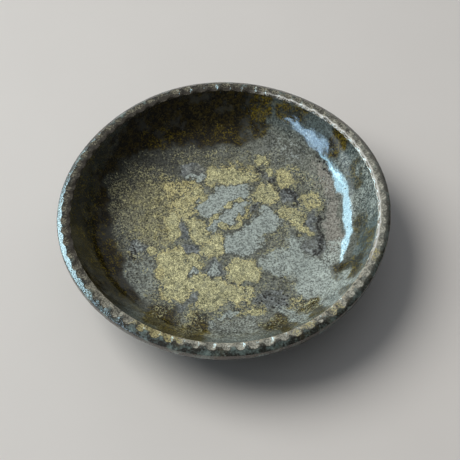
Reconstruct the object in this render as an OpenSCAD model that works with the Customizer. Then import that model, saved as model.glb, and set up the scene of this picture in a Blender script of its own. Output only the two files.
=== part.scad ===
// Shallow stoneware bowl: a pressed clay dish with a scooped rim band, a bare foot ring and two glaze coats.
// Millimetres, +Z up. The origin is the middle of the foot, on the surface that the bowl stands on.

/* [Bowl] */
// Outside diameter over the rim band
rim_d = 130; // [120:1:160]
// Depth of the inside, from the top of the rim to the glazed floor
bowl_depth = 18; // [14:0.5:30]
// Diameter of the flat part of the floor
floor_d = 76; // [70:1:84]
// Radius of the round between floor and wall
floor_round = 19; // [8:0.5:22]
// Thickness of the clay in floor and wall
clay_t = 5.2; // [4:0.1:7]

/* [Rim band] */
// Height of the band above its seat on the wall
rim_h = 6.5; // [5:0.5:9]
// Width from the inner edge to the outside of the band
rim_w = 4.8; // [3.5:0.1:6]
// Radius of the round above the band's widest height
rim_top_round = 3; // [2:0.1:3.4]
// Radius of the round below the band's widest height
rim_low_round = 4.2; // [3.6:0.1:8]

/* [Scoops] */
// Number of scoops pressed into the rim band
scoop_count = 72; // [40:1:80]
// Radius of the round tip that presses them
scoop_r = 2.6; // [1.8:0.1:3.5]
// Depth of a scoop below the top of the band
scoop_depth = 1; // [0.4:0.05:1.4]
// Distance from the inner edge to the middle of a scoop
scoop_in = 1.6; // [0.8:0.1:2.4]

/* [Foot ring] */
// Outside diameter of the foot ring
foot_d = 72; // [60:1:80]
// Width of the ring that the bowl stands on
foot_w = 6; // [4:0.5:10]
// Height of the ring under the floor
foot_h = 5.2; // [4.5:0.1:8]

/* [Glaze] */
// Thickness of each glaze coat
glaze_t = 0.4; // [0.2:0.05:0.8]
// Clay edge left above the inner coat, where the glaze breaks
edge_break = 1; // [0.5:0.1:2]
// Bare clay left between the outer coat and the foot ring
foot_line = 3; // [1:0.5:8]

/* [Hidden] */
$fn = 96;

// Radii and heights that the pieces share
rim_r = rim_d / 2;
edge_r = rim_r - rim_w;
floor_r = floor_d / 2;
foot_r = foot_d / 2;
floor_z = foot_h + clay_t + glaze_t;
top_z = floor_z + bowl_depth;
seat_z = top_z - rim_h;

// Rounds of the rim band, on both sides of its widest height
top_round = min(rim_top_round, rim_w);
belly_z = top_z - top_round;
low_round = max(rim_low_round, belly_z - seat_z);

// The round between floor and wall, kept under the wall's run so that a straight wall is left above it
wall_run = edge_r - floor_r;
run_share = 0.95;
round_r = min(floor_round, run_share * wall_run);
round_c = [floor_r, floor_z + round_r];

// Slope of the wall: the straight line from the inner edge that just touches the round
edge_rise = top_z - round_c[1];
edge_reach = norm([wall_run, edge_rise]);
wall_slope = 90 + atan2(edge_rise, wall_run) - acos(round_r / edge_reach);

// Layers, counted outwards from the glazed inside
clay_in = glaze_t;
clay_out = clay_in + clay_t;
skin_out = clay_out + glaze_t;

// Straight steps that follow the round between floor and wall, and each round of the rim band
arc_steps = 16;
rim_steps = 6;

// Radius of the wall's surface in a layer, at height z on its straight stretch
function wall_r(layer, z) = edge_r + (layer + (z - top_z) * cos(wall_slope)) / sin(wall_slope);

// Points of a layer's surface in the plane of radius and height, from the axis up to height z on the wall
function layer_line(layer, z) = [
    [0, floor_z - layer],
    for (i = [0 : arc_steps])
        let (turn = wall_slope * i / arc_steps)
        round_c + (round_r + layer) * [sin(turn), -cos(turn)],
    [wall_r(layer, z), z]
];

// Same points, from the wall back to the axis
function layer_line_back(layer, z) =
    let (line = layer_line(layer, z), last = len(line) - 1)
    [for (i = [last : -1 : 0]) line[i]];

// Section of one coat or wall between two layers, up to height z
module layer_section(inner, outer, z) {
    polygon(concat(layer_line(outer, z), layer_line_back(inner, z)));
}

// Points along an arc about a centre, from one angle to another
function arc(centre, r, from, to, steps) = [
    for (i = [0 : steps])
        let (turn = from + (to - from) * i / steps)
        centre + r * [cos(turn), sin(turn)]
];

// Section of the rim band before the scoops are pressed
module rim_section() {
    break_z = top_z - edge_break;
    inside = [
        [edge_r, top_z],
        [wall_r(0, break_z), break_z],
        [wall_r(clay_in, break_z), break_z],
        [wall_r(clay_in, seat_z), seat_z]
    ];
    low_turn = -asin((belly_z - seat_z) / low_round);
    outside_low = arc([rim_r - low_round, belly_z], low_round, low_turn, 0, rim_steps);
    outside_top = arc([rim_r - top_round, belly_z], top_round, 0, 90, rim_steps);
    polygon(concat(inside, outside_low, [for (i = [1 : rim_steps]) outside_top[i]]));
}

// The round tip that presses one scoop, where it stops
module scoop_tip() {
    translate([edge_r + scoop_in, 0, top_z - scoop_depth + scoop_r]) sphere(r = scoop_r);
}

module clay_dish() {
    color("#6b5f52") rotate_extrude() layer_section(clay_in, clay_out, seat_z);
}

module rim_band() {
    color("#7b7f70") difference() {
        rotate_extrude() rim_section();
        for (i = [0 : scoop_count - 1])
            rotate([0, 0, i * 360 / scoop_count]) scoop_tip();
    }
}

module foot_ring() {
    color("#8a7661") rotate_extrude() difference() {
        translate([foot_r - foot_w, 0]) square([foot_w, floor_z]);
        polygon(concat(layer_line(clay_out, top_z), [[0, top_z]]));
    }
}

module inner_glaze() {
    color("#5c5f4c") rotate_extrude() layer_section(0, clay_in, top_z - edge_break);
}

module outer_glaze() {
    color("#2f3a36") rotate_extrude() intersection() {
        layer_section(clay_out, skin_out, seat_z);
        translate([foot_r + foot_line, 0]) square([rim_d, top_z]);
    }
}

clay_dish();
rim_band();
foot_ring();
inner_glaze();
outer_glaze();
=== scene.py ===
# %% [markdown]
# # A scooped stoneware bowl, step by step
# The bowl is a small hand-pressed dish: a clay body, a thick band of clay around its mouth with a row of
# scoops pressed into it, a ring to stand on, and a glaze coat inside and outside. The imported model gives
# each piece its true size and place, so the first step loads it, and its boxes give the sizes used below.

# %% Load the imported bowl
import math
from functools import partial, reduce

import bmesh
import bpy
import numpy as np
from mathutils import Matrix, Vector, noise


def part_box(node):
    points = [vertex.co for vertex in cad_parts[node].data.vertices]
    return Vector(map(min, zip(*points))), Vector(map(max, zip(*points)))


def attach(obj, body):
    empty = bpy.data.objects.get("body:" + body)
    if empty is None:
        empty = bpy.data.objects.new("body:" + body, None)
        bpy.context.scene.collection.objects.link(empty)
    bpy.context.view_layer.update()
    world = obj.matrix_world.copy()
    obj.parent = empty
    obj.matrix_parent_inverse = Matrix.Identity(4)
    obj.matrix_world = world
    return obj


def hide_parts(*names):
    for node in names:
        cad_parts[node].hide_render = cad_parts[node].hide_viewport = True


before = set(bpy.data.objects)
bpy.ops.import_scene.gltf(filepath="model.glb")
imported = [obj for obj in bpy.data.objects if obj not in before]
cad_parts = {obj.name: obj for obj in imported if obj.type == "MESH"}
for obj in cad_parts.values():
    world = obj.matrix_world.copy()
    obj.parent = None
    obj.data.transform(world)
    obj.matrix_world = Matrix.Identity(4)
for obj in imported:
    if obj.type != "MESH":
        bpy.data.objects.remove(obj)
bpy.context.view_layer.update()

MM = 0.001
scene = bpy.context.scene
scene.view_settings.view_transform = "Standard"
print("pieces:", sorted(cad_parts))

# %% [markdown]
# ## The camera
# The picture is taken by someone looking down into the bowl. A camera can be placed by eye, or worked out
# from how the round mouth flattens into an oval. The second way gave a long lens, about half a metre away
# and a little steeper than half way up.

# %% Camera
view_field = math.radians(20)
view_height = math.radians(55.77)
view_distance = 504.7
aim_point = Vector((2.05, -7.36, 23.8))
sensor_width = 36.0

camera_data = bpy.data.cameras.new("camera")
camera_data.sensor_width = sensor_width
camera_data.lens = sensor_width / 2 / math.tan(view_field / 2)
camera = bpy.data.objects.new("camera", camera_data)
scene.collection.objects.link(camera)
sight = Vector((0, math.cos(view_height), -math.sin(view_height)))
camera.location = (aim_point - view_distance * sight) * MM
camera.rotation_euler = sight.to_track_quat("-Z", "Y").to_euler()
scene.camera = camera
print("lens", round(camera_data.lens, 1), "mm, camera at", [round(v, 3) for v in camera.location])

# %% [markdown]
# ## Nodes with less typing
# Every finish below is a small network of nodes. They could be joined by hand in the shader editor, but
# that hides the recipe. Each helper adds a node or a few to the tree being built and returns the output. A
# plain number is set on the socket itself.

# %% Helpers for nodes and numbers
def feed(node, key, value):
    """Links an output to an input of the node, or sets a plain number or colour on it."""
    socket = node.inputs[key]
    if isinstance(value, bpy.types.NodeSocket):
        tree.links.new(value, socket)
    elif hasattr(value, "__len__"):
        socket.default_value = (*value, 1.0)[:len(socket.default_value)]
    else:
        socket.default_value = value


def add_node(kind, inputs, output=0, **settings):
    """Adds a node to the tree at hand, fills its inputs and returns one of its outputs."""
    node = tree.nodes.new("ShaderNode" + kind)
    for title, value in settings.items():
        setattr(node, title, value)
    for key, value in inputs.items():
        feed(node, key, value)
    return node.outputs[output]


def calc(operation, *values):
    """The values joined one after the other by an operation of the Math node."""
    return reduce(lambda first, second: add_node("Math", {0: first, 1: second}, operation=operation), values)


# Product, sum and largest of several values
times, plus, most = (partial(calc, operation) for operation in ("MULTIPLY", "ADD", "MAXIMUM"))


def ease(value, low, high, to_low=0.0, to_high=1.0):
    """A smooth step of value between low and high."""
    ends = {"From Min": low, "From Max": high, "To Min": to_low, "To Max": to_high}
    return add_node("MapRange", {"Value": value, **ends}, "Result", interpolation_type="SMOOTHSTEP")


def stripe(value, rise, fall, share=1.0):
    """Up to share where value lies between its rise and its fall, each a start and an end, else 0."""
    return times(ease(value, *rise, 0, share), ease(value, *fall))


print("number helpers ready")

# %% Helpers for colours
def blend(share, first, second):
    """Colour first where share is 0, colour second where it is 1."""
    return add_node("Mix", {0: share, 6: first, 7: second}, 2, data_type="RGBA")


def over(under, top, value, low, high, share=1.0):
    """The top colour laid over another one as value goes from low to high, up to a share."""
    return blend(ease(value, low, high, 0, share), under, top)


def lit_by(colour, factor):
    """The colour made lighter or darker by a factor."""
    return add_node("HueSaturation", {"Value": factor, "Color": colour}, "Color")


def finish_named(name, *pieces):
    """Puts a new material on the pieces and returns its node tree and its one shader."""
    material = bpy.data.materials.new(name)
    material.use_nodes = True
    for piece in pieces:
        piece.data.materials.append(material)
    return material.node_tree, material.node_tree.nodes["Principled BSDF"]


print("colour helpers ready")

# %% Helpers for patterns and bumps
def scaled(size):
    """Inputs of a texture whose features are about size millimetres wide."""
    return {"Vector": add_node("TexCoord", {}, "Object"), "Scale": 1 / (size * MM)}


def speckle(size, detail=2.0, rough=0.55, twist=0.0):
    """Cloudy noise from 0 to 1."""
    look = {"Detail": detail, "Roughness": rough, "Distortion": twist}
    return add_node("TexNoise", {**scaled(size), **look}, "Fac")


def swing(pattern, by):
    """The same noise around 0 instead of around a half, by times as strong."""
    return times(calc("SUBTRACT", pattern, 0.5), by)


def dots(size):
    """Distance to the nearest of many scattered points."""
    return add_node("TexVoronoi", scaled(size), "Distance")


def painted(name):
    """A value that was stored on the mesh, point by point."""
    return add_node("Attribute", {}, "Fac", attribute_name=name)


def bumps(height, depth):
    """A surface normal from a height of 0 to 1 that stands for depth millimetres."""
    return add_node("Bump", {"Strength": 1.0, "Distance": depth * MM, "Height": height}, "Normal")


print("pattern helpers ready")

# %% [markdown]
# ## The floor
# The bowl stands on a plain pale surface. A plate with a little grain is enough to catch the shadow and
# send some light back under the rim.

# %% Floor
floor_half = 12000.0
floor_drop = 0.02
floor_grain = 90
floor_dark, floor_light = (0.66, 0.645, 0.62), (0.72, 0.705, 0.68)

floor_mesh = bpy.data.meshes.new("studio_floor")
floor_corners = [(x * floor_half * MM, y * floor_half * MM, -floor_drop * MM)
                 for x, y in ((-1, -1), (1, -1), (1, 1), (-1, 1))]
floor_mesh.from_pydata(floor_corners, [], [(0, 1, 2, 3)])
floor = bpy.data.objects.new("studio_floor", floor_mesh)
scene.collection.objects.link(floor)
tree, shader = finish_named("pale_floor", floor)
feed(shader, "Base Color", blend(speckle(floor_grain, 4), floor_dark, floor_light))
feed(shader, "Roughness", 0.8)
print("floor", 2 * floor_half, "mm square")

# %% [markdown]
# ## The light
# A glossy glaze shows what stands around it, so two kinds of lamp are used. One broad soft lamp high at the
# far left gives the form and the soft shadow. It is left out of mirror images, where it would be a white
# spot. Four low bluish panes on the left are what the glaze mirrors, like a window: the curved streak on
# the right and the bright line on the left lip. They are left out of the diffuse light. One large window
# would give a streak of even width, while panes of different length and tilt make it taper. A dim room
# fills the rest.

# %% Lamps
def soft_lamp(name, turn, height, distance, wide, high, watts, colour, tilt=0):
    """An area lamp that faces the bowl. turn runs from +X towards +Y, height is its angle above the floor."""
    lamp = bpy.data.lights.new(name, "AREA")
    lamp.shape, lamp.size, lamp.size_y = "ELLIPSE", wide, high
    lamp.energy, lamp.color = watts, colour
    stand = bpy.data.objects.new(name, lamp)
    scene.collection.objects.link(stand)
    turn, height = math.radians(turn), math.radians(height)
    away = Vector((math.cos(turn) * math.cos(height), math.sin(turn) * math.cos(height), math.sin(height)))
    stand.location = distance * away
    stand.rotation_euler = (-away).to_track_quat("-Z", "Y").to_euler()
    stand.rotation_euler.rotate_axis("Z", math.radians(tilt))
    return stand


broad_lamp = soft_lamp("broad_lamp", 163, 51, 1.5, 1.1, 1.1, 20.0, (1.0, 0.97, 0.93))
broad_lamp.visible_glossy = False
panes = [
    soft_lamp("far_pane", 152.5, 23.5, 1.1, 1.08, 0.41, 15.2, (0.48, 0.82, 1.0), tilt=7),
    soft_lamp("sill_pane", 184, 23.0, 1.1, 0.6, 0.08, 1.6, (0.4, 0.76, 1.0)),
    soft_lamp("near_pane", 211, 20.0, 1.1, 0.66, 0.15, 2.5, (0.46, 0.72, 1.0)),
    soft_lamp("low_pane", 172, 8, 1.1, 1.4, 0.22, 1.3, (0.74, 0.88, 0.94)),
]
for pane in panes:
    pane.visible_diffuse = False
print("lamps:", broad_lamp.name, *(pane.name for pane in panes))

# %% Room
bright_side = Vector((-0.45, 0.5, 0.74)).normalized()
room_dark, room_bright = (0.06, 0.06, 0.06), (0.32, 0.33, 0.35)

room = bpy.data.worlds.new("room")
scene.world = room
room.use_nodes = True
tree = room.node_tree
where = add_node("TexCoord", {}, "Generated")
facing_light = add_node("VectorMath", {0: where, 1: bright_side}, "Value", operation="DOT_PRODUCT")
feed(tree.nodes["Background"], "Color", over(room_dark, room_bright, facing_light, -0.2, 0.95))
print("the room is brightest towards", bright_side)

# %% [markdown]
# ## Sizes and the section line
# The bowl is formed round its axis, so one line from the middle of the floor to the mouth describes every
# coat: a flat floor, a tight round, and a wall in a much wider round that goes on with the same slope. A
# straight wall would be simpler, but pressed clay is nowhere quite straight. Coats and clay are the same
# line moved outwards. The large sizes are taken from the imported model.

# %% Sizes in millimetres
rim_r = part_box("rim_band")[1].x / MM
top_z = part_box("rim_band")[1].z / MM
seat_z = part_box("rim_band")[0].z / MM
foot_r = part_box("foot_ring")[1].x / MM
dish_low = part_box("clay_dish")[0].z / MM
glaze_t = 0.4
clay_t = 5.2
rim_w = 4.8
foot_w = 6.0
floor_r = 38.0
floor_round = 19.0
wall_round = 55.0
edge_break = 1.0
clay_in = glaze_t
clay_out = clay_in + clay_t
skin_out = clay_out + glaze_t
floor_z = dish_low + clay_out
edge_r = rim_r - rim_w
break_z = top_z - edge_break
round_z = floor_z + floor_round
print(f"bowl {2 * rim_r:.1f} mm across and {top_z:.1f} mm high, floor at {floor_z:.1f} mm")

# %% Where the wall leaves the round of the floor
spread = wall_round - floor_round
edge_run, edge_drop = edge_r - floor_r, round_z - top_z
edge_reach = math.hypot(edge_run, edge_drop)
meeting = (wall_round ** 2 - edge_reach ** 2 - spread ** 2) / (2 * spread * edge_reach)
wall_from = math.asin(meeting) - math.atan2(edge_drop, edge_run)
wall_centre_r = floor_r - spread * math.sin(wall_from)
wall_centre_z = round_z + spread * math.cos(wall_from)


def wall_r(layer, z):
    """Radius of a layer's wall at height z."""
    return wall_centre_r + math.sqrt((wall_round + layer) ** 2 - (wall_centre_z - z) ** 2)


def layer_line(layer, z, flat_steps, round_steps, wall_steps):
    """Points (radius, height) of a layer from the axis up to height z on the wall."""
    flat_x = np.linspace(0, floor_r, flat_steps, endpoint=False)
    flat = np.column_stack([flat_x, np.full(flat_steps, floor_z - layer)])
    turn = np.linspace(0, wall_from, round_steps, endpoint=False)
    reach = floor_round + layer
    bend = np.column_stack([floor_r + reach * np.sin(turn), round_z - reach * np.cos(turn)])
    wall_z = np.linspace(round_z - reach * math.cos(wall_from), z, wall_steps)
    wall = np.column_stack([[wall_r(layer, height) for height in wall_z], wall_z])
    return np.vstack([flat, bend, wall])


print(f"the wall starts at {math.degrees(wall_from):.1f} degrees")

# %% [markdown]
# ## The hand of the potter
# A pressed dish is never quite round, and its edge is not quite level. This can be done with a lattice or
# by sculpting, but a short sum of waves around the axis is easy to repeat: every piece goes through the
# same function, so they stay in touch. The draw grows with the square of the radius, so the foot stays
# true. The mouth is made slightly smaller first and the edge only sinks, so that the bowl stays inside its
# box.

# %% Wobble
keep_in = 0.994
# Waves around the mouth, share of the radius as cosine and as sine
mouth_waves = [(2, 0, 0.0066), (3, -0.0015, 0.0012), (4, 0.002, 0.0043), (5, -0.0014, 0.0006)]
rim_sag = 0.22
# Waves around the edge, share of the sag and where the wave starts
sag_waves = [(2, 0.6, 0.8), (5, 0.4, 2.0)]


def mouth_shape(turn):
    """How far the mouth is drawn out at an angle, as a factor on the radius."""
    draw = sum(by_cos * np.cos(count * turn) + by_sin * np.sin(count * turn)
               for count, by_cos, by_sin in mouth_waves)
    return keep_in * (1 + draw)


def unit(values):
    """Values kept between 0 and 1."""
    return np.clip(values, 0, 1)


def by_hand(points):
    """Moves round points, an array of (x, y, z) in millimetres, to where the potter's hand left them."""
    x, y, z = np.moveaxis(points, -1, 0)
    turn = np.arctan2(y, x)
    share = (np.hypot(x, y) / rim_r) ** 2
    factor = 1 + (mouth_shape(turn) - 1) * share
    lift = unit((z - floor_z) / (top_z - floor_z))
    level = 1 + sum(part * np.sin(count * turn + start) for count, part, start in sag_waves)
    return np.stack([x * factor, y * factor, z - rim_sag * lift * level / 2], axis=-1)


print("mouth factor on the right:", mouth_shape(0).round(4))

# %% [markdown]
# ## Turning a section into a closed skin
# Each piece is a stack of rings, like coils of clay, joined by four-sided faces. A stack with poles closes
# there with fans of triangles, and one without closes on itself. A screw modifier would do for a plain
# section, but not for rings that differ from each other. The enclosed volume tells which way the faces
# look, so a skin that came out inside out is turned over.

# %% Rings, lumps and waves
seed_steps = (7.3, 3.1, 5.7)


def revolve(line, count):
    """Rings of points from a section line of (radius, height), count points around."""
    turn = np.arange(count) * 2 * math.pi / count
    r, z = line[:, 0][:, None], line[:, 1][:, None]
    return np.stack([r * np.cos(turn), r * np.sin(turn), z + 0 * turn], axis=-1)


def rough_field(points, size, depth, seed):
    """Smooth random values up to about depth at points in millimetres, in lumps about size wide."""
    shift = Vector([seed * step for step in seed_steps])
    flat = [noise.noise(Vector(p) / size + shift) for p in points.reshape(-1, 3)]
    return depth * np.array(flat).reshape(points.shape[:-1])


def layered_field(points, layers, first_seed):
    """Several rough fields added up, from a list of their sizes and depths."""
    return sum(rough_field(points, size, depth, first_seed + number)
               for number, (size, depth) in enumerate(layers))


def pull_in(rings, by):
    """Moves points towards the axis by so many millimetres."""
    rings[..., :2] *= (1 - by / np.hypot(rings[..., 0], rings[..., 1]))[..., None]


print("ring helpers ready")

# %% Skin builder
sharp_from = math.radians(48)


def skin(name, rings, poles=(None, None), marks=None):
    """A closed mesh object from rings of points in millimetres, with marks stored on its points."""
    rows, count = rings.shape[:2]
    points = [*rings.reshape(-1, 3)]
    faces = []
    steps = np.arange(count)
    beside = (steps + 1) % count
    last = rows if poles == (None, None) else rows - 1
    for row in range(last):
        low, high = row * count, (row + 1) % rows * count
        faces += zip(low + steps, low + beside, high + beside, high + steps)
    for pole, base, order in ((poles[0], 0, 1), (poles[1], (rows - 1) * count, -1)):
        if pole is not None:
            tip = np.full(count, len(points))
            points.append(np.array(pole, float))
            faces += zip(*(base + steps, tip, base + beside)[::order])
    mesh = bpy.data.meshes.new(name)
    mesh.from_pydata(np.array(points) * MM, [], [[*map(int, face)] for face in faces])
    shape = bmesh.new()
    shape.from_mesh(mesh)
    if shape.calc_volume(signed=True) < 0:
        mesh.flip_normals()
    shape.free()
    mesh.shade_smooth()
    mesh.set_sharp_from_angle(angle=sharp_from)
    for title, values in (marks or {}).items():
        column = np.full(len(points), values[0, 0], np.float32)
        column[:rows * count] = values.reshape(-1)
        mesh.attributes.new(title, "FLOAT", "POINT").data.foreach_set("value", column)
    piece = bpy.data.objects.new(name, mesh)
    scene.collection.objects.link(piece)
    return piece


print("skin builder ready")

# %% [markdown]
# ## Where the glaze pooled
# The inside shows matt ochre crusts with a few holes and some dust beside them, milky islands and pools,
# blue grey channels, dark seams and olive brown runs on the wall, and two warm pink bands that are a painted
# reflection of the room in the gloss. Painting such a layout by hand would need an image. Here each patch is
# an oval with a place, two half widths, a strength and often a turn in degrees. A strength of 1 covers the
# glass,
# 0 half covers it and below 0 is only a dusting of grains. Noise then tears the outlines up, as crystals
# grow.

# %% Layout of the patches, in millimetres as seen from above: x, y, half length, half width, strength, turn
patches = {
    "crust": [
        (-17, 22, 9, 4.4, 0.35, 5), (-11.5, 19.5, 3.5, 3.5, 1), (-15.5, 12, 4.5, 8, 0.5),
        (-17.5, 13, 6, 9, 0.3), (-21, 12, 10, 10, 0.07), (-25, 11, 13, 12, -0.02), (-29, 11, 15, 15, -0.1),
        (-25, 24, 7, 4.5, 0.05), (-21, 2.5, 2.4, 8, 1.4, 4), (-24, 1, 5, 7, 0.1), (-28, 1, 9, 9, -0.05),
        (-31, 10, 17, 17, -0.2), (-28.5, -8.8, 2.6, 2.6, 0.9), (-20, -12, 6.5, 6, 1), (-18, -18, 8, 7, 1),
        (-20, -24, 7, 9, 0.95), (-22.3, -14, 3.6, 7, 0.95), (-12, -22.5, 7, 5, 1),
        (-11.8, -14, 3.6, 3.4, 1.1), (4, -20.5, 4.5, 3.4, 1), (-22, -31, 7, 5, -0.1), (-6, -25, 8, 4, 1),
        (2, -28, 7, 4.5, 1, -20), (-6, -30.5, 9, 5, 0.9), (-12, -38, 2.2, 5, 0.1, -20), (-3, -35, 7, 3, 0),
        (9, -28, 1.8, 1.6, 0.9), (8.5, -34.5, 6, 4, 0.2), (11, -37.5, 3, 2, 0.6), (7.5, -17.2, 7, 6, 1.2),
        (11, -19, 4.5, 4.5, 1.2), (-5, -6.5, 4.6, 6.5, 1, -10), (-2.5, -8.5, 3.2, 4, 0.9),
        (0, 3, 3.2, 1.6, 0.7, 35), (-11, -0.5, 5, 4.5, 1), (-12, 3.5, 4, 3.5, 0.9),
        (-5, 6, 3.6, 1.5, 0.8, 35), (-4.5, 28, 4, 5.5, 1), (4, 28, 9, 3.4, 0.85), (3, 32.5, 10, 3.2, 0.15),
        (15, 36.5, 2.8, 3.6, 0.7), (18, 29.5, 2, 2.4, 0.9), (19, 38, 4, 3, -0.2),
        (25.5, 26.5, 4, 6, 0.45, 10), (28, 29, 4.5, 4.5, 0.1), (16.5, 19, 6.2, 5.6, 0.75),
        (35, 15.5, 5, 5, 0.45), (24, 10, 3.2, 2.8, 0.55), (29, 7, 4.2, 4.8, 0.65), (32, 1, 2.6, 2.2, 0.6),
        (7, 16, 2.2, 1, 0.9, 12), (2, 13, 3.2, 1.2, 0.9, 18), (8.5, 9, 6, 1.6, 0.25, 45),
        (4, 3.2, 2.6, 1.5, 0.9, 35), (20, -4, 6, 7, -0.15), (28, -33, 4.6, 3.2, 0.15),
        (33, -36, 4, 4, -0.1), (3, 47, 4, 5, -0.3), (-11, 39, 9, 4, -0.2), (-24, -37, 4, 5, -0.1),
        (-14, -44, 4, 6, -0.2), (20, -42, 6, 4, -0.25), (-30, 10, 17, 20, -0.15), (5, 31, 20, 9, -0.3),
        (22, 17, 16, 13, -0.2), (-6, -29, 20, 10, -0.2), (16, -24, 12, 8, -0.3), (-20, 0, 30, 34, -0.45),
    ],
    "hole": [
        (-13.3, -18.2, 2.2, 2.4, 1), (-17, -34.5, 9.5, 1.7, 1, 52), (-17.3, 0.5, 1.4, 6, 1, 8),
    ],
    "island": [
        (-5, 14, 7.6, 6, 1, 35), (2, 19.5, 8.5, 5, 1, 20), (2, 8, 12, 2, 1.1, 42), (-5, 3, 3, 1.6, 1),
        (7, -4.5, 7.5, 5.5, 1, 10), (14.5, 4, 9, 5.5, 1, 35), (17, 9, 3, 4, 1), (-5.2, -17.5, 3, 3.2, 0.25),
        (-12, 27.6, 4.4, 1.5, 0.5), (-13, -18, 1.6, 1.6, 0.3), (26, -42, 10, 1.6, 0.15, -52),
        (-5.5, -43, 1.1, 5, 0.2, -25), (1, -37.8, 5, 1.1, 0.3, 8),
    ],
    "pool": [
        (28, -7, 4, 7, 0.9), (24, -14, 9, 7, 0.4), (35, -18, 10, 7, 1.1, -20), (41, -27, 8.5, 6.5, 1),
        (33, -26, 7, 5, 0.4), (-33, -20, 7, 13, -0.12), (4, -46, 9, 10, -0.2), (4, -54, 13, 9, -0.45),
        (26, -41, 9, 4, 0.2, -52), (17, 49.5, 7, 3, -0.4), (27, 40, 8, 6, -0.3), (44, -10, 4, 5, 0.2),
        (49, -33, 7, 8, 0.5, 30), (42, -39, 6, 5, 0.2), (-38, 3, 5, 10, -0.15), (55, 12, 5, 18, 0),
        (47.5, 27, 3.5, 5, -0.1),
    ],
    "channel": [
        (-13.5, 31, 6, 4.2, 1), (-17.3, 0.5, 1.5, 6, 1, 8), (-13, -8, 3.6, 2.6, 0.9),
        (-34, -7, 4, 3.6, 0.9), (16.5, 27.5, 6, 1.4, 1, -35), (26, 18, 3, 4, 1), (35, 6, 2.4, 5, 0.9),
        (17, -30, 7, 5, 0.4), (12, 12, 7, 0.9, 0.9, 42), (28.5, 18, 1.2, 6, 0.9, 20),
        (36, -6, 4.5, 6, 0.35), (-4.5, -17.2, 4.6, 4.4, 1), (-17.5, -35, 10.5, 2, 0.3, 52),
        (-36, 26, 6, 4, -0.2), (22, 40, 13, 5, 0.12, -30),
    ],
    "seam": [
        (38.3, 3, 1.3, 9, 0.9), (37, -6, 1.3, 5, 0.8, -10), (-36.5, -10, 2.2, 3.2, 0.9),
        (27.5, 20, 1.5, 5, 0.9, 30), (11.5, 11, 7, 0.7, 0.2, 42), (22, -23, 3, 2, 0),
        (18, -31, 6, 4, -0.25), (13, 31, 2.8, 1.4, 1, -45), (22.5, 21, 3.4, 1.4, 0.9, -40),
        (20, 24.5, 3.4, 1.3, 0.9, -30), (29, 14, 1.4, 3, 0.5), (18, -35, 2, 1, 0.5),
        (-29, -12, 2, 1.4, 0.2), (42, 28, 0.9, 10, 0.15, 28),
    ],
    "dust": [
        (-26, 14, 12, 12, 1), (-30, 12, 13, 14, 0.45), (-27, 3, 8, 11, 0.8), (4, 30, 16, 7, -0.1),
    ],
    # Painted reflection: two warm bands on the right where the glossy wall mirrors the room
    "rosy": [
        (43, 3, 3.2, 16, 1), (40.5, 24, 3.2, 10, 0.8, 25),
    ],
    "run": [
        (14, 54, 5, 8, 0.4), (46.5, 36, 5.5, 4.5, 0.9), (27, 51, 8, 2.6, 0.35, -28), (52, 21, 2.4, 6, 0.2),
        (54, -4, 3, 8, 0.25), (48.5, -18.5, 5.6, 3.8, 0.4), (43, -22, 2, 5, 0.1, 10), (56, -12, 3, 7, 0.4),
        (33, -35, 5, 5, 1), (35.5, -42, 3.4, 6, 0.7, 40), (51, -25, 4, 4, 0.5), (20.5, -42.5, 5.6, 5, 1),
        (25, -49, 4, 7, 0.6, 20), (-24.5, -41, 8, 8, 1, 10), (-17, -52, 10, 7, 0.8), (-46, -13, 4, 9, 0.1),
        (-10.8, -44, 5.4, 9, 1, -10), (2, 47, 6, 4, 0.2), (14, 45, 6, 3, -0.3), (-12, 45.5, 14, 2.6, 0),
        (46, -36, 3, 5, 0.3, 30), (-24, 44, 10, 3, 0, 10), (-55, 0, 6, 24, 0), (-43, -28, 5, 13, -0.2, 34),
    ],
}
print("patches:", {title: len(ovals) for title, ovals in patches.items()})

# %% How deep a point lies in a patch
patch_steep = 2.2


def coverage(x, y, ovals):
    """How deep inside a patch each point lies: up to its strength in the middle, 0 on its outline."""
    deepest = np.full(x.shape, -1.0)
    for middle_x, middle_y, long_half, wide_half, strength, *turn in ovals:
        c, s = math.cos(math.radians(sum(turn))), math.sin(math.radians(sum(turn)))
        along = ((x - middle_x) * c + (y - middle_y) * s) / long_half
        across = ((y - middle_y) * c - (x - middle_x) * s) / wide_half
        depth = patch_steep * (1 - np.hypot(along, across))
        deepest = np.maximum(deepest, np.minimum(depth, strength))
    return deepest


print("a patch is full", round(1 / patch_steep, 2), "of the way in")

# %% [markdown]
# ## The inner coat
# The glaze inside is a skin less than half a millimetre thick. It could be paint on the clay, but a skin
# has a true edge below the rim and small waves, which make a mirrored lamp look ragged. The patch outlines
# are torn by moving each point a little before its coverage is looked up.

# %% Face of the coat
coat_around = 480
tear_layers = [(6.0, 2.6), (2.2, 1.6)]
wave_layers = [(8.0, 0.16), (2.8, 0.055)]
calm_edge = 2.0

face = revolve(layer_line(0, break_z, 58, 30, 14)[1:], coat_around)
torn_x = face[..., 0] + layered_field(face, tear_layers, 1)
torn_y = face[..., 1] + layered_field(face, tear_layers, 3)
waves = layered_field(face, wave_layers, 5)
waves *= unit((break_z - face[..., 2]) / calm_edge)
face_r = np.hypot(face[..., 0], face[..., 1])
lean = np.minimum((face_r - floor_r) / floor_round, (face_r - wall_centre_r) / wall_round).clip(0)
outward = face[..., :2] / face_r[..., None]
face[..., :2] -= outward * (waves * lean)[..., None]
face[..., 2] += waves * np.sqrt(1 - lean ** 2)
print("waves from", waves.min().round(2), "to", waves.max().round(2), "mm")

# %% [markdown]
# ## Dark far wall and painted shade
# The far left wall is nearly black: its glaze is dark brown, and painted shade makes it darker, as that wall
# faces away from the light. The floor below it gets painted shade too. Ovals fit this badly, so it is a
# sector of the wall above a lower edge, which two tongues and one bay move.

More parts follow.
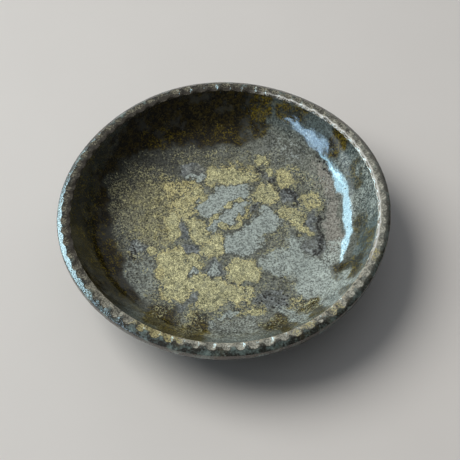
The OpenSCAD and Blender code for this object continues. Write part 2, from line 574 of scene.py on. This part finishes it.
# %% Dark brown wall with painted shade, and painted shade on the floor below
# The far left wall: dark brown glaze made darker by painted shade
brown_shade_middle, brown_shade_reach = math.radians(152), math.radians(81)
brown_shade_low, brown_shade_soft, brown_shade_ends = 47.5, 3.5, 4.0
# Direction in degrees, narrowness and how far the lower edge moves there
brown_shade_tongues = [(207, 3, -5), (106, 3, -6), (135, 6, 6)]
floor_shade_from, floor_shade_width = 23.0, 19.0

torn_turn, torn_r = np.arctan2(torn_y, torn_x), np.hypot(torn_x, torn_y)
towards = np.cos(torn_turn - brown_shade_middle) - math.cos(brown_shade_reach)
brown_shade_edge = brown_shade_low
for direction, narrow, move in brown_shade_tongues:
    closeness = narrow * np.cos(torn_turn - math.radians(direction)) - (narrow - 1)
    brown_shade_edge = brown_shade_edge + move * unit(closeness)
smoke = np.clip((torn_r - brown_shade_edge) / brown_shade_soft, -1, 1)
smoke = np.minimum(smoke, np.clip(brown_shade_ends * towards, -1, 1))
# Painted shade on the floor below the dark far wall
gloom = unit(towards) * unit((torn_r - floor_shade_from) / floor_shade_width)
print("smoke on", (smoke > 0).mean().round(2), "of the points")

# %% Marks of the coat
thin_crust = 0.3
most_clean = 0.6
pool_clean = 0.6
brown_shade_clean = 0.5
hole_depth = 1.6
seam_thin = 0.2

covered = {title: coverage(torn_x, torn_y, ovals) for title, ovals in patches.items()}
holes = hole_depth * unit(covered.pop("hole"))
clean = np.maximum(np.maximum(covered["island"], covered["channel"]), pool_clean * covered["pool"])
clean = np.clip(clean, 0, most_clean)
crust = covered["crust"]
crust = np.where(crust < thin_crust, crust - clean, crust)
inner_marks = {
    **covered,
    "crust": crust - np.clip(smoke, 0, brown_shade_clean) - holes,
    "seam": covered["seam"] - seam_thin,
    "smoke": smoke,
    "gloom": gloom,
    "climb": (face[..., 2] - floor_z) / (break_z - floor_z),
}
print("marks:", sorted(inner_marks))

# %% Inner glaze coat
back = revolve(layer_line(clay_in, break_z, 6, 16, 3)[:0:-1], coat_around)
no_marks = np.zeros(back.shape[:2])
inner_coat = skin("inner_coat", by_hand(np.vstack([face, back])),
                  poles=((0, 0, floor_z), (0, 0, floor_z - clay_in)),
                  marks={title: np.vstack([values, no_marks]) for title, values in inner_marks.items()})
print("inner coat:", len(inner_coat.data.polygons), "faces")

# %% [markdown]
# ## The rim band and its scoops
# A rounded stick was pressed in all along the top of the band. Before that, the band had a rounded inner
# edge, a flat top and a bevel towards the outside. Cutting seventy troughs with booleans leaves ragged
# triangles. It is neater to lower the ring's own points on to the nearest trough, with a soft minimum that
# keeps the edges slightly round. Every press is a little different, and on the right they are shallower.

# %% Every press is different
scoop_count = 72
deepest_press = 0.98
calm_turn = math.radians(14)
calm_width, calm_start, calm_less = 1.5, 0.4, 0.2
draws = np.random.default_rng(7)


def calm_side(turn):
    """1 on the right, where the scoops are shallow and covered with glaze, and 0 on the other sides."""
    return unit(calm_width * np.cos(turn - calm_turn) - calm_start)


def varied(usual, spread):
    """One value for each press, close to the usual one."""
    return usual + draws.normal(0, spread, scoop_count)


press_turn = varied(0, 0.08)
press_edge = np.minimum(varied(0.88, 0.1), deepest_press)
press_rise = varied(0.16, 0.04)
press_bend = varied(3.1, 0.35)
press_slant = varied(0.1, 0.12)
press_edge *= 1 - calm_less * calm_side(np.arange(scoop_count) * 2 * math.pi / scoop_count)
print("presses are", press_edge.min().round(2), "to", press_edge.max().round(2), "mm deep")

# %% Arcs and corners of a section
def arc_line(centre_r, centre_z, radius, start, end, steps):
    """Points of an arc between two angles in degrees."""
    turn = np.radians(np.linspace(start, end, steps))
    return np.column_stack([centre_r + radius * np.cos(turn), centre_z + radius * np.sin(turn)])


def round_corner(before, corner, after, radius, steps):
    """Points of an arc that rounds a corner between two straight stretches."""
    back, ahead = np.subtract(before, corner), np.subtract(after, corner)
    back, ahead = back / np.hypot(*back), ahead / np.hypot(*ahead)
    half = math.acos(back @ ahead) / 2
    middle = (back + ahead) / np.hypot(*(back + ahead))
    centre = corner + middle * radius / math.sin(half)
    first, last = corner + back * radius / math.tan(half), corner + ahead * radius / math.tan(half)
    turn = math.atan2(*(first - centre)[::-1]), math.atan2(*(last - centre)[::-1])
    sweep = (turn[1] - turn[0] + math.pi) % (2 * math.pi) - math.pi
    return arc_line(*centre, radius, math.degrees(turn[0]), math.degrees(turn[0] + sweep), steps)


def fill_line(start, end, steps):
    """Points between two ends, without the ends."""
    return np.linspace(start, end, steps + 2)[1:-1]


print("section helpers ready")

# %% Section of the band
lip_top, lip_low = 3.0, 4.8
bevel_w, bevel_h, bevel_round = 2.1, 1.45, 0.7
edge_round, brow_steps = 1.5, 8

belly_z = top_z - lip_top
start, inner_edge, outer_edge = (wall_r(0, break_z), break_z), (edge_r, top_z), (rim_r - bevel_w, top_z)
brow, belly = (rim_r, top_z - bevel_h), (rim_r, belly_z)
inner_arc = round_corner(start, inner_edge, outer_edge, edge_round, 8)
outer_arc = round_corner(inner_edge, outer_edge, brow, bevel_round, 6)
brow_arc = round_corner(outer_edge, brow, belly, bevel_round, brow_steps)
upper = np.vstack([
    [start], fill_line(start, inner_arc[0], 5), inner_arc, fill_line(inner_arc[-1], outer_arc[0], 9),
    outer_arc, fill_line(outer_arc[-1], brow_arc[0], 10), brow_arc,
])
low_turn = -math.degrees(math.asin((belly_z - seat_z) / lip_low))
under = arc_line(rim_r - lip_low, belly_z, lip_low, 0, low_turn, 10)
hidden = [(wall_r(clay_in, z), z) for z in np.linspace(seat_z, break_z, 4)]
band_line = np.vstack([upper, under, hidden])
print("section of", len(band_line), "points")

# %% Pressing the scoops
press_steps = 18
edge_soft = 0.34

pitch = 2 * math.pi / scoop_count
band = revolve(band_line, scoop_count * press_steps)
band_turn = np.arctan2(band[0, :, 1], band[0, :, 0])
bulge = np.hypot(band[..., 0], band[..., 1])
before_press = band[..., 2].copy()
for number in range(scoop_count):
    offset = band_turn - (number + press_turn[number]) * pitch
    offset = (offset + math.pi) % (2 * math.pi) - math.pi
    near = np.abs(offset) < pitch
    radius = bulge[:len(upper), near]
    out = np.clip(radius - edge_r, 0, None)
    side = radius * offset[near] - press_slant[number] * out
    hollow = top_z - press_edge[number] + press_rise[number] * out + side ** 2 / (2 * press_bend[number])
    old = band[:len(upper), near, 2]
    mix = unit(0.5 + 0.5 * (hollow - old) / edge_soft)
    band[:len(upper), near, 2] = hollow * (1 - mix) + old * mix - edge_soft * mix * (1 - mix)
sunk = before_press - band[..., 2]
print(scoop_count, "scoops, deepest", sunk.max().round(2), "mm")

# %% How far each point stands out: above 0 on edges and below 0 in hollows
along = np.roll(band, -1, 1) - np.roll(band, 1, 1)
upward = np.roll(band, -1, 0) - np.roll(band, 1, 0)
facing = np.cross(along, upward)
facing /= np.linalg.norm(facing, axis=-1, keepdims=True) + 1e-9
stand_out = np.zeros(band.shape[:2])
for axis in (0, 1):
    before, after = np.roll(band, 1, axis), np.roll(band, -1, axis)
    reach = np.linalg.norm(after - before, axis=-1) / 2 + 1e-6
    stand_out += np.einsum("ijk,ijk->ij", band - (before + after) / 2, facing) * 2 / reach ** 2
# The brow is an edge, so it tells which sign means standing out
if stand_out[len(upper) - brow_steps].mean() < 0:
    stand_out = -stand_out
print("sharpest edge", stand_out.max().round(1), "per mm")

# %% Where ochre crystals grew on the rim: middle and half width in degrees, and strength
ochre_rim = [(246, 10, 0.7), (299, 5, 0.3), (312, 3, 0.3), (339, 3, 0.2)]
ochre_steep = 1.3

degrees = np.degrees(band_turn) % 360
rim_ochre = np.full(degrees.shape, -1.0)
for middle, half, strength in ochre_rim:
    away = np.abs((degrees - middle + 180) % 360 - 180) / half
    rim_ochre = np.maximum(rim_ochre, np.minimum(ochre_steep * (1 - away), strength))
print(len(ochre_rim), "ochre patches on the rim")

# %% Scooped rim
near_turn = math.radians(320)
lump_from, lump_fade, lump_seat = 1.0, 2.0, 1.5

lump = rough_field(band, 5.0, 0.1, 8)
lump *= unit((bulge - edge_r - lump_from) / lump_fade) * unit((band[..., 2] - seat_z) / lump_seat)
pull_in(band, np.abs(lump))
all_rows = (len(band), 1)
band_marks = {
    "sunk": sunk,
    "stand_out": np.clip(stand_out, -2, 4),
    "outer": unit((bulge - edge_r) / rim_w),
    "near_side": np.tile(0.5 + 0.5 * np.cos(band_turn - near_turn), all_rows),
    "calm": np.tile(calm_side(band_turn), all_rows),
    "ochre": np.tile(rim_ochre, all_rows),
}
rim_piece = skin("scooped_rim", by_hand(band), marks=band_marks)
print("rim:", len(rim_piece.data.polygons), "faces")

# %% [markdown]
# ## The outer coat
# Outside, the glaze ran down and stops in a wavy line above the foot with a thick rolled edge. A plain
# turned skin would stop in a level line, so each ring of this coat is worked out point by point: the lowest
# one follows a slow wave around the axis, and the last millimetre thins out in a round.

# %% Glaze line and rings of the outer coat
outer_around = 360
glaze_line_r = 39.0
line_wave = 1.6
line_ring = 12
turns = np.arange(outer_around) * 2 * math.pi / outer_around
line_points = np.column_stack([np.cos(turns), np.sin(turns), 0 * turns]) * line_ring
line_run = 0.5 + rough_field(line_points, 5.0, 0.5, 11) + 0.5 * np.sin(3 * turns) ** 2
stop_r = glaze_line_r + line_wave * line_run
start_turn = np.arcsin((stop_r - floor_r) / (floor_round + skin_out))


def outer_ring(layer, share):
    """One ring of the outer coat, at a share of the way from the glaze line up to the seat of the rim."""
    reach, wall_reach = floor_round + layer, wall_round + layer
    bend_length = reach * (wall_from - start_turn)
    wall_to = math.acos((wall_centre_z - seat_z) / wall_reach)
    run = share * (bend_length + wall_reach * (wall_to - wall_from))
    low = np.minimum(start_turn + run / reach, wall_from)
    high = wall_from + np.clip(run - bend_length, 0, None) / wall_reach
    r = floor_r + reach * np.sin(low) + wall_reach * (np.sin(high) - math.sin(wall_from))
    z = round_z - reach * np.cos(low) + wall_reach * (math.cos(wall_from) - np.cos(high))
    return np.column_stack([r * np.cos(turns), r * np.sin(turns), z])


print("the outer coat stops", stop_r.min().round(1), "to", stop_r.max().round(1), "mm from the axis")

# %% Outer glaze coat
dense_to, roll_to, roll_least = 0.06, 0.03, 0.02
drip_stretch = np.array([1, 1, 0.35])
drip_least, drip_from, drip_seat = 0.12, 0.1, 0.06
back_rows = 10

shares = np.concatenate([np.linspace(0, dense_to, 7)[:-1], np.linspace(dense_to, 1, 40)])
roll = np.sqrt(1 - (1 - unit(shares / roll_to)) ** 2)
outer_face = np.stack([outer_ring(clay_out + glaze_t * max(swell, roll_least), share)
                       for swell, share in zip(roll, shares)])
drips = drip_least + rough_field(outer_face * drip_stretch, 6.0, 0.16, 12)
fade = unit(shares / drip_from) * unit((1 - shares) / drip_seat)
pull_in(outer_face, drips * fade[:, None])
outer_back = np.stack([outer_ring(clay_out, share) for share in np.linspace(1, 0.001, back_rows)])
rise = np.vstack([np.repeat(shares[:, None], outer_around, 1), np.zeros((back_rows, outer_around))])
outer_coat = skin("outer_coat", by_hand(np.vstack([outer_face, outer_back])), marks={"rise": rise})
print("outer coat:", len(outer_coat.data.polygons), "faces")

# %% [markdown]
# ## The clay dish and the foot ring
# Underneath, the clay is bare. A trimming tool leaves fine turning rings in the recess and soft corners on
# the foot ring. The finish could draw the rings, but a few more points make them real: both pieces are
# plain turned sections, with a small ripple on the underside and arcs for the corners.

# %% Clay dish
clay_around = 288
ring_pitch, ring_depth = 2.1, 0.09
ring_gap, ring_fade = 0.2, 2.0
foot_in = foot_r - foot_w

clay_inside = layer_line(clay_in, seat_z, 6, 16, 4)[1:]
clay_under = layer_line(clay_out, seat_z, 110, 20, 5)[:0:-1]
ripple = ring_depth * (1 + np.cos(2 * math.pi * clay_under[:, 0] / ring_pitch)) / 2
ripple *= unit((foot_in - ring_gap - clay_under[:, 0]) / ring_fade)
clay_under[:, 1] += ripple
clay = revolve(np.vstack([clay_inside, clay_under]), clay_around)
clay_poles = (0, 0, floor_z - clay_in), (0, 0, dish_low + ring_depth)
clay_piece = skin("clay_body", by_hand(clay), poles=clay_poles)
print("clay dish:", len(clay_piece.data.polygons), "faces")

# %% Foot ring
corner = 1.1
last_ring = 0.6
foot_section = np.vstack([
    [(foot_in, dish_low)],
    arc_line(foot_in + corner, corner, corner, 180, 270, 7),
    arc_line(foot_r - corner, corner, corner, 270, 360, 7),
    [(foot_r, dish_low - last_ring), (foot_r, dish_low)],
])
foot_rings = revolve(foot_section, clay_around)
chatter = rough_field(foot_rings, 7.0, 0.12, 15) * unit(foot_rings[..., 2] / corner)
pull_in(foot_rings, np.abs(chatter))
foot_piece = skin("foot", by_hand(foot_rings))
print("foot ring:", len(foot_piece.data.polygons), "faces")

# %% [markdown]
# ## Bare stoneware
# The clay fires to a warm grey brown with fine sand and a few dark iron spots. An image could be wrapped
# around it, but noise at the scale of sand has no seams. It is matt, with small bumps.

# %% Bare stoneware finish
clay_dark, clay_light = (0.3, 0.215, 0.15), (0.4, 0.31, 0.23)
sand_colour, iron_colour = (0.52, 0.43, 0.33), (0.07, 0.045, 0.03)

tree, shader = finish_named("bare_stoneware", clay_piece, foot_piece)
sand = speckle(0.5, 2, 0.6)
clay_colour = over(clay_dark, clay_light, speckle(14, 4), 0.35, 0.65)
clay_colour = over(clay_colour, sand_colour, sand, 0.45, 0.75, 0.5)
feed(shader, "Base Color", over(clay_colour, iron_colour, dots(3.2), 0.1, 0.04))
feed(shader, "Roughness", 0.82)
feed(shader, "Normal", bumps(sand, 0.12))
print("bare stoneware on", clay_piece.name, foot_piece.name)

# %% [markdown]
# ## The outer glaze
# The outside is a dark, glossy green grey. Where it runs thick it is nearly black, and where it is thin it
# is mottled blue green, with olive clouds and pale specks. Above the foot it thins out to brown. The same
# colours carry on over the outside of the rim, so the recipe is a function that both finishes call.

# %% Outer glaze finish
glaze_ior = 1.55
thick_colour, thin_colour = (0.012, 0.016, 0.013), (0.165, 0.235, 0.222)
olive_colour, speck_colour, foot_colour = (0.06, 0.052, 0.022), (0.19, 0.22, 0.2), (0.17, 0.12, 0.06)


def dark_glaze():
    """Colour of the dark glaze: blotchy, with olive clouds and pale specks."""
    grain = speckle(0.8, 2, 0.6)
    cloud = plus(speckle(4.5, 5, 0.65, 0.3), times(grain, 0.35))
    colour = over(thick_colour, thin_colour, cloud, 0.61, 0.9)
    colour = over(colour, olive_colour, speckle(5, 4), 0.52, 0.72, 0.7)
    return over(colour, speck_colour, grain, 0.56, 0.74, 0.5)


tree, shader = finish_named("outer_glaze", outer_coat)
feed(shader, "IOR", glaze_ior)
thin_foot = plus(painted("rise"), times(speckle(4, 3), 0.1))
feed(shader, "Base Color", over(dark_glaze(), foot_colour, thin_foot, 0.13, 0.04))
feed(shader, "Roughness", ease(speckle(3, 3), 0.3, 0.7, 0.14, 0.26))
feed(shader, "Normal", bumps(speckle(1.6, 3), 0.1))
print("outer glaze on", outer_coat.name)

# %% [markdown]
# ## The rim glaze
# The glaze on the rim is a mottled grey green, pale where it is thin. The scoops are painted lighter on the
# near side and darker on the far and left side, as painted light and shade. An image of it would have to be
# laid out around the ring. Here every border is a stored value with noise added: how far a point sank, how
# far out it lies and which way it faces. Ochre crystals tint the rim where the runs of the inside reach it.

# %% Rim glaze: the scoops
rim_ior, rim_tint = 1.85, (1.0, 0.86, 0.78)
spot_colour, shade_colour = (0.042, 0.047, 0.038), (0.02, 0.019, 0.013)

tree, shader = finish_named("rim_glaze", rim_piece)
feed(shader, "IOR", rim_ior)
feed(shader, "Specular Tint", rim_tint)
grain, patchy = speckle(0.6, 2, 0.6), speckle(2.4, 3)
shift = plus(swing(grain, 1.4), swing(patchy, 1.6))
near_side, outer, calm = painted("near_side"), painted("outer"), painted("calm")
edge_shift = plus(outer, times(shift, 0.3))


def grainy(dark, light):
    """A colour that follows the grain of the rim."""
    return over(dark, light, grain, 0.38, 0.62)


# Painted light and shade: the scoops are lighter on the near side and darker on the far and left side
shaded_far_colour = grainy((0.03, 0.03, 0.019), (0.25, 0.245, 0.18))
lit_near_colour = grainy((0.18, 0.185, 0.155), (0.45, 0.46, 0.39))
ochre_colour = grainy((0.1, 0.08, 0.024), (0.47, 0.43, 0.17))
scoop_colour = over(shaded_far_colour, lit_near_colour, near_side, 0.15, 0.8)
spotty = most(ease(near_side, 0.5, 0.9, 1, 0.5), ease(near_side, 0.95, 0.99))
scoop_colour = blend(times(ease(patchy, 0.38, 0.54, 0.8, 0), spotty), scoop_colour, spot_colour)
# Painted shade on the inner half of the far and left scoops
shade = times(ease(near_side, 0.45, 0.2, 0, 0.9), ease(edge_shift, 0.5, 0.15))
scoop_colour = blend(shade, scoop_colour, shade_colour)
scoop_colour = over(scoop_colour, ochre_colour, plus(painted("ochre"), shift), 0.0, 0.6, 0.8)
print("nodes for the scoops:", len(tree.nodes))

# %% [markdown]
# ## Edges of the rim
# The glaze runs off every edge, so the inner edge and the ridges between the scoops are worn to a beige
# line, made stronger on the near side as a painted highlight. They could be painted by hand, but the mesh
# knows
# its edges: the stored sharpness draws that line. Outside the scoops lies the dark glaze, with a darker line
# where the two meet. On the right, a white line along the inner edge is thin glaze with a painted highlight
# on it.

# %% Rim glaze: edges and outside
outline_colour, worn_and_sheen_colour = (0.026, 0.024, 0.015), (0.42, 0.385, 0.29)
edge_highlight_colour = (0.74, 0.77, 0.74)

sunk_depth = painted("sunk")
sunk_shift = plus(sunk_depth, times(shift, 0.1))
spread_out = times(calm, ease(edge_shift, 0.95, 0.6, 0, 0.6))
scooped = most(ease(sunk_shift, 0.02, 0.14), ease(outer, 0.45, 0.2), spread_out)
rim_colour = blend(scooped, dark_glaze(), scoop_colour)
outline = times(ease(sunk_depth, 0.004, 0.03), ease(sunk_shift, 0.18, 0.08),
                ease(outer, 0.25, 0.45, 0, 0.7), ease(calm, 0.1, 0.5, 1, 0.1))
rim_colour = blend(outline, rim_colour, outline_colour)
# Worn beige line on sharp edges, made stronger on the near side as a painted highlight
worn_and_sheen = plus(painted("stand_out"), shift, times(near_side, 2.0))
worn_and_sheen = times(ease(worn_and_sheen, 2.2, 3.4, 0, 0.75), ease(outer, 0.6, 0.15))
rim_colour = blend(worn_and_sheen, rim_colour, worn_and_sheen_colour)
# Painted highlight: a white line on the thin glaze along the inner edge on the right, where the lamps glint
inner_line = plus(outer, times(shift, 0.13))
edge_highlight = times(stripe(inner_line, (0.0, 0.05), (0.19, 0.13)),
              ease(calm, 0.15, 0.6, 0, 0.9), ease(near_side, 0.995, 0.955))
feed(shader, "Base Color", blend(edge_highlight, rim_colour, edge_highlight_colour))
feed(shader, "Roughness", ease(patchy, 0.3, 0.7, 0.06, 0.16))
feed(shader, "Normal", bumps(plus(grain, patchy), 0.11))
print("rim glaze on", rim_piece.name)

# %% [markdown]
# ## The inner glaze
# One image from above would blur close up and smear on the wall, so this finish is built up as the kiln did
# it, layer over layer. Each layer covers the one below where its stored coverage, shaken by fine noise,
# passes a threshold. The first is grey green glass, bluer up the wall and in the channels, darkened by
# painted shade at the far left, with two warm pink bands of painted reflection and ochre dust.

# %% Inner glaze: the glass
wall_colour, floor_shade_colour = (0.07, 0.102, 0.106), (0.03, 0.031, 0.026)

tree, shader = finish_named("inner_glaze", inner_coat)
feed(shader, "IOR", glaze_ior)
grain, clump, mottle = speckle(0.75, 3, 0.7), speckle(1.9, 3, 0.6), speckle(5.5, 5, 0.6)
climb = painted("climb")


def shaken(name, by_grain, by_clump):
    """A stored coverage with its outline broken up by grain and clumps."""
    return plus(painted(name), plus(swing(grain, by_grain), swing(clump, by_clump)))


glass = over((0.11, 0.12, 0.101), (0.196, 0.214, 0.182), mottle, 0.35, 0.65)
glass = over(glass, wall_colour, climb, 0.15, 0.7, 0.8)
# Painted shade at the far left of the floor
glass = over(glass, floor_shade_colour, painted("gloom"), 0.0, 0.9, 0.8)
channel_colour = over((0.082, 0.092, 0.092), (0.25, 0.28, 0.28), clump, 0.36, 0.64)
glass = over(glass, channel_colour, shaken("channel", 1.4, 1.0), 0.0, 0.6, 0.9)
glass = lit_by(glass, ease(grain, 0.32, 0.66, 0.3, 1.5))
# Painted reflection: warm pink bands where the glossy wall mirrors the room
warm_reflection_colour = over((0.135, 0.128, 0.108), (0.4, 0.395, 0.352), grain, 0.34, 0.66)
glass = over(glass, warm_reflection_colour, shaken("rosy", 1.6, 1.2), -0.3, 0.8, 0.75)
dust_colour = over((0.08, 0.075, 0.042), (0.34, 0.33, 0.195), grain, 0.34, 0.66)
glass = over(glass, dust_colour, shaken("dust", 1.2, 1.6), -0.6, 0.8, 0.7)
print("nodes for the glass:", len(tree.nodes))

# %% [markdown]
# ## Milk and seams
# Where the glaze lies thick it turns milky: soft pools, and islands with a crisp outline and a dark shore.
# The seams are crowds of dark specks. Solid shapes would look like ink, so a seam is a dim ground, with
# specks from the grain and pits from a pattern of dots.

# %% Inner glaze: pools, islands and seams
shore_colour, pit_colour = (0.055, 0.06, 0.055), (0.014, 0.012, 0.009)
seam_colour = (0.05, 0.048, 0.042)
seam_share = 0.4

milk = over((0.12, 0.137, 0.127), (0.47, 0.55, 0.515), grain, 0.33, 0.65)
cloudy_milk = lit_by(milk, ease(mottle, 0.35, 0.65, 1, 1.25))
glass = over(glass, cloudy_milk, shaken("pool", 1.6, 1.4), -0.4, 0.6, 0.9)
island = shaken("island", 1.8, 0.6)
glass = over(glass, milk, island, -0.1, 0.35)
glass = blend(stripe(island, (-0.6, -0.2), (0.15, -0.15), 0.6), glass, shore_colour)
seam = ease(shaken("seam", 0.6, 2.6), -0.3, 0.4)
glass = blend(times(seam, seam_share), glass, seam_colour)
specks = times(seam, ease(grain, 0.56, 0.46))
pits = times(ease(dots(1.5), 0.38, 0.26), ease(painted("seam"), -1.1, -0.4))
glass = blend(most(pits, specks), glass, pit_colour)
print("nodes with the seams:", len(tree.nodes))

# %% [markdown]
# ## Dark far wall and runs
# The far wall is a dark brown glaze, made nearly black with painted shade, with a rusty glow, fine flecks and
# a few grey smears. The runs are a lighter rust that came last down the wall. Both are laid over the glass
# and the milk.

# %% Inner glaze: dark wall with painted shade, and runs
fleck_colour, smear_colour = (0.072, 0.06, 0.018), (0.048, 0.05, 0.043)

grit = speckle(0.42, 1, 0.5)
# Dark brown glaze of the far wall, made nearly black with painted shade
brown_shade_colour = over((0.003, 0.0025, 0.001), (0.04, 0.029, 0.002), plus(clump, grain), 0.86, 1.24)
brown_shade_colour = over(brown_shade_colour, fleck_colour, plus(grit, grain, mottle), 1.64, 1.88, 0.7)
brown_shade_colour = over(brown_shade_colour, smear_colour, speckle(8, 3), 0.5, 0.62, 0.65)
glass = over(glass, brown_shade_colour, shaken("smoke", 0.7, 0.8), -0.1, 0.8, 0.97)
rust = over((0.01, 0.007, 0.001), (0.2, 0.152, 0.006), plus(grain, times(mottle, 0.6)), 0.73, 1.06)
glass = over(glass, rust, shaken("run", 1.4, 1.4), -0.3, 0.6, 0.92)
print("nodes with the runs:", len(tree.nodes))

# %% [markdown]
# ## Ochre crusts
# The crusts are matt crystals that break up into grains at their edges, because their threshold is shaken
# hard. They are pale where thick and golden towards the outline, with loose grains and dark gaps around
# them. A mesh for each grain would be too much: a colour and a small bump are enough.

# %% Inner glaze: crusts
sage_colour, golden_colour = (0.27, 0.275, 0.18), (0.42, 0.35, 0.13)
gap_colour, loose_colour = (0.02, 0.02, 0.016), (0.5, 0.48, 0.29)

heap = painted("crust")
border = stripe(heap, (0.1, 0.3), (0.8, 0.45), 0.14)
thick = plus(border, times(heap, 0.25), times(grain, 1.6), times(clump, 0.5), times(mottle, 0.6))
crystal = over((0.062, 0.06, 0.025), (0.68, 0.66, 0.37), thick, 1.12, 2.0)
crystal = over(crystal, sage_colour, speckle(3.4, 4, 0.7), 0.46, 0.66, 0.6)
crystal = blend(stripe(heap, (0.0, 0.2), (0.7, 0.35), 0.35), crystal, golden_colour)
crystal = lit_by(crystal, ease(grit, 0.32, 0.68, 0.5, 1.5))
gaps = times(ease(heap, -0.7, -0.1, 0, 0.75), ease(grain, 0.48, 0.37))
glass = blend(gaps, glass, gap_colour)
loose = times(ease(heap, -0.6, -0.05, 0, 0.8), ease(grit, 0.6, 0.68))
glass = blend(loose, glass, loose_colour)
crust_share = ease(shaken("crust", 3.4, 2.6), -0.1, 0.4)
inner_colour = blend(crust_share, glass, crystal)
print("nodes with the crusts:", len(tree.nodes))

# %% [markdown]
# ## The surface of the inner glaze
# The wall is glossy, and the flat floor is satin, so that it mirrors no lamp. Crystals scatter light, so
# they are rougher still and stand up a little. A few pinholes, where bubbles burst, are dark and sunk in.

# %% Inner glaze: pinholes, gloss and bumps
pinhole_colour = (0.03, 0.028, 0.022)
crust_rough = 0.35

pinhole = times(ease(dots(1.9), 0.16, 0.08), ease(crust_share, 0.2, 0.8, 1, 0.2))
feed(shader, "Base Color", blend(pinhole, inner_colour, pinhole_colour))
satin = ease(climb, 0.0, 0.04, 0.3, 0.05)
cloudy = ease(mottle, 0.3, 0.7, 0.0, 0.06)
feed(shader, "Roughness", plus(satin, cloudy, times(crust_share, crust_rough)))
relief = plus(times(crust_share, 0.6), times(clump, 0.25), times(grain, 0.15))
feed(shader, "Normal", bumps(calc("SUBTRACT", relief, pinhole), 0.09))
print("inner glaze on", inner_coat.name)

# %% [markdown]
# ## Putting it together
# Each skin stands for one piece of the imported model. It rides on the bowl's only body and hides that piece.
# The list also gives the name of the material of its finish, which this step does not use. This could be said
# after each skin, but a list leaves none out.

# %% Pieces, what they stand for and their material
dressed = [
    (clay_piece, "clay_dish", "bare_stoneware"),
    (rim_piece, "rim_band", "rim_glaze"),
    (foot_piece, "foot_ring", "bare_stoneware"),
    (inner_coat, "inner_glaze", "inner_glaze"),
    (outer_coat, "outer_glaze", "outer_glaze"),
]
for piece, node, slot in dressed:
    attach(piece, "root")
    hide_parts(node)
    print(piece.name, "stands for", node)
